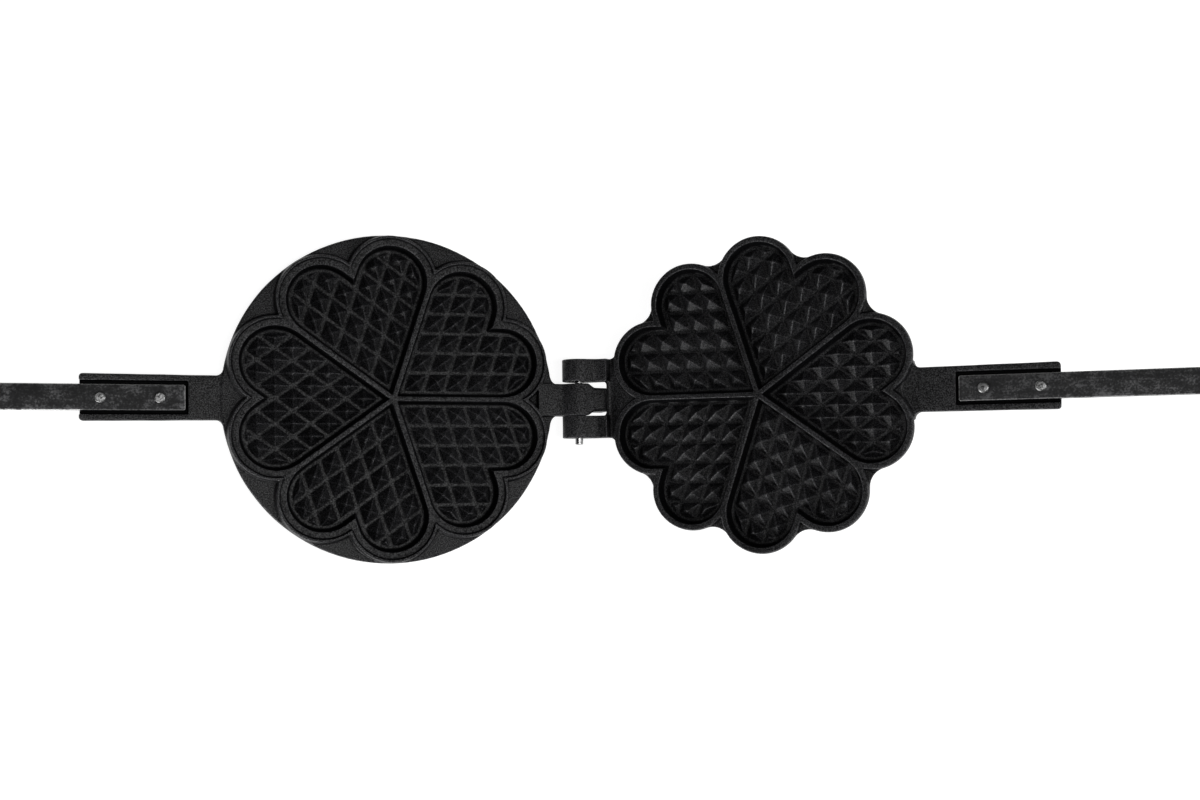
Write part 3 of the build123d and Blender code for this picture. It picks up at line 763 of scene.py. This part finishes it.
class WAFFLE_OT_castings(bpy.types.Operator):
    """Build the two cast iron halves with softened edges"""

    bl_idname = "waffle.castings"
    bl_label = "Castings"

    def execute(self, context):
        props = context.scene.waffle_casting
        material = seasoned_cast_iron(props)
        for half in ("lower", "upper"):
            mesh = softened_casting(half, props)
            show(half + "_casting", mesh, material, half + "_half", half + "_plate")
        return {"FINISHED"}


class WAFFLE_OT_bars(bpy.types.Operator):
    """Build the two flat handle bars"""

    bl_idname = "waffle.bars"
    bl_label = "Handle bars"

    def execute(self, context):
        props = context.scene.waffle_bar
        material = worn_bar_steel(props)
        low, high = bench_box("lower_handle_bar")
        depth = high[2] - low[2]
        for half in ("lower", "upper"):
            mesh = bar_mesh(half + "_bar", half, low, high, props)
            rod = rod_mesh("drill", half, high[0] - props.hole_inset, props.hang_hole / 2,
                           low[2] - depth, high[2] + depth)
            show(half + "_bar", drilled(mesh, rod), material, half + "_half",
                 half + "_handle_bar")
        return {"FINISHED"}


class WAFFLE_OT_fasteners(bpy.types.Operator):
    """Build the four rivets and the slotted hinge pin"""

    bl_idname = "waffle.fasteners"
    bl_label = "Rivets and pin"

    def execute(self, context):
        props = context.scene.waffle_fastener
        # Hammered heads are grey and scatter the light; the sprung sheet is smoother and paler.
        struck = plain_steel("struck_rivet_steel", linear("8C8C8C"), linear("404040"),
                             roughness=0.42, dent_size=0.0012, dent_depth=0.0003)
        sprung = plain_steel("spring_pin_steel", linear("B8B8B8"), linear("909090"),
                             roughness=0.3, dent_size=0.002, dent_depth=0.00004)
        seat = bench_box("lower_handle_bar")[1][2]
        for half in ("lower", "upper"):
            for place in ("inner", "outer"):
                low, high = bench_box("lower_" + place + "_rivet")
                name = half + "_" + place + "_rivet"
                mesh = rivet_mesh(name, half, low, high, seat, props)
                show(name + "_head", mesh, struck, half + "_half", name)
        low, high = (np.array(corner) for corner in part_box("hinge_pin"))
        mesh = pin_mesh("pin", (high[0] - low[0]) / 2, low[1], high[1], props)
        show("slotted_pin", mesh, sprung, "upper_half", "hinge_pin")
        return {"FINISHED"}


class WAFFLE_OT_studio(bpy.types.Operator):
    """Set up the floor, the soft lamps and the camera"""

    bl_idname = "waffle.studio"
    bl_label = "Studio"

    def execute(self, context):
        props = context.scene.waffle_studio
        self.floor(props)
        self.lamps(props)
        self.camera(context, props)
        context.scene.view_settings.view_transform = "Standard"
        return {"FINISHED"}

    def floor(self, props):
        """A sheet of pale paper that the camera sees as white, with the iron's shadow on it."""
        material, tree = new_material("pale_paper")
        paper = add(tree, "BsdfDiffuse", Color=(*props.floor_colour, 1.0)).outputs[0]
        # The glow shows to the camera, in reflections and through glass, and lights nothing else.
        path = add(tree, "LightPath")
        seen = add(tree, "Math", {"operation": "MAXIMUM"}, i0=path.outputs["Is Camera Ray"],
                   i1=path.outputs["Is Glossy Ray"]).outputs[0]
        seen = add(tree, "Math", {"operation": "MAXIMUM"}, i0=seen,
                   i1=path.outputs["Is Transmission Ray"]).outputs[0]
        lift = add(tree, "Math", {"operation": "MULTIPLY"}, i0=seen,
                   i1=props.floor_glow).outputs[0]
        glow = add(tree, "Emission", Strength=lift).outputs[0]
        both = add(tree, "AddShader", i0=paper, i1=glow).outputs[0]
        add(tree, "OutputMaterial", Surface=both)
        mesh = bpy.data.meshes.new("floor")
        corners = [(x * FLOOR_REACH, y * FLOOR_REACH, -FLOOR_DROP)
                   for x, y in ((-1, -1), (1, -1), (1, 1), (-1, 1))]
        mesh.from_pydata(corners, [], [(0, 1, 2, 3)])
        mesh.materials.append(material)
        floor = bpy.data.objects.new("floor", mesh)
        bpy.context.scene.collection.objects.link(floor)

    def lamps(self, props):
        """A long softbox overhead, one at the front right, a low one front left, an even sky.

        The low one stands so near the floor that it only grazes the lower half, and lights the
        raised one.
        """
        world = bpy.data.worlds.new("studio_sky")
        bpy.context.scene.world = world
        world.use_nodes = True
        tree = world.node_tree
        tree.nodes.clear()
        sky = add(tree, "Background", Color=(1.0, 1.0, 1.0, 1.0),
                  Strength=props.sky_strength).outputs[0]
        add(tree, "OutputWorld", Surface=sky)
        softboxes = (
            ("key_softbox", (1.62, -0.5, 1.1), (0.12, 0.0, 0.05), (0.6, 0.6), props.key_power),
            ("low_softbox", (-0.53, -0.94, 0.07), (0.2, 0.0, 0.07), (0.7, 0.1), props.low_power),
            ("top_softbox", (0.2, -0.2, 1.68), (0.2, 0.0, 0.05), (2.0, 0.45), props.top_power))
        for name, place, aim, size, power in softboxes:
            lamp = bpy.data.lights.new(name, "AREA")
            lamp.shape = "RECTANGLE"
            lamp.size, lamp.size_y = size
            lamp.energy = power
            thing = bpy.data.objects.new(name, lamp)
            thing.location = place
            thing.visible_camera = False
            beam = Vector(aim) - Vector(place)
            thing.rotation_euler = beam.to_track_quat("-Z", "Y").to_euler()
            bpy.context.scene.collection.objects.link(thing)

    def camera(self, context, props):
        """Stand the camera where the photograph's perspective puts it, over the lower half."""
        data = bpy.data.cameras.new("camera")
        data.lens = props.lens
        data.sensor_width = 36.0
        data.shift_x, data.shift_y = CAMERA_SHIFT
        data.clip_start = 0.01
        data.clip_end = 50.0
        camera = bpy.data.objects.new("camera", data)
        camera.location = HINGE + Vector(CAMERA_PLACE)
        turn = Matrix.Rotation(props.pan, 3, "X") @ Matrix.Rotation(-props.tilt, 3, "Y")
        camera.rotation_euler = (turn @ Matrix.Rotation(-props.roll, 3, "Z")).to_euler()
        context.scene.collection.objects.link(camera)
        context.scene.camera = camera


class WAFFLE_PT_panel(bpy.types.Panel):
    """Lists the pieces of the waffle iron"""

    bl_idname = "WAFFLE_PT_panel"
    bl_label = "Waffle iron"
    bl_space_type = "VIEW_3D"
    bl_region_type = "UI"
    bl_category = "Waffle iron"

    def draw(self, context):
        for operator in OPERATORS:
            self.layout.operator(operator.bl_idname)
        for group in GROUPS:
            box = self.layout.box()
            for key in group.__annotations__:
                box.prop(getattr(context.scene, GROUPS[group]), key)


GROUPS = {CastingProps: "waffle_casting", BarProps: "waffle_bar", FastenerProps: "waffle_fastener",
          StudioProps: "waffle_studio"}
OPERATORS = (WAFFLE_OT_castings, WAFFLE_OT_bars, WAFFLE_OT_fasteners, WAFFLE_OT_studio)
CLASSES = (*GROUPS, *OPERATORS, WAFFLE_PT_panel)


def register():
    """Register every class and hang the property groups on the scene."""
    for cls in CLASSES:
        bpy.utils.register_class(cls)
    for group, name in GROUPS.items():
        setattr(bpy.types.Scene, name, bpy.props.PointerProperty(type=group))


def unregister():
    """Take the property groups and classes away again."""
    for name in GROUPS.values():
        delattr(bpy.types.Scene, name)
    for cls in reversed(CLASSES):
        bpy.utils.unregister_class(cls)


def main():
    """Build every piece in order."""
    register()
    bpy.ops.waffle.castings()
    bpy.ops.waffle.bars()
    bpy.ops.waffle.fasteners()
    bpy.ops.waffle.studio()


if __name__ == "__main__":
    main()
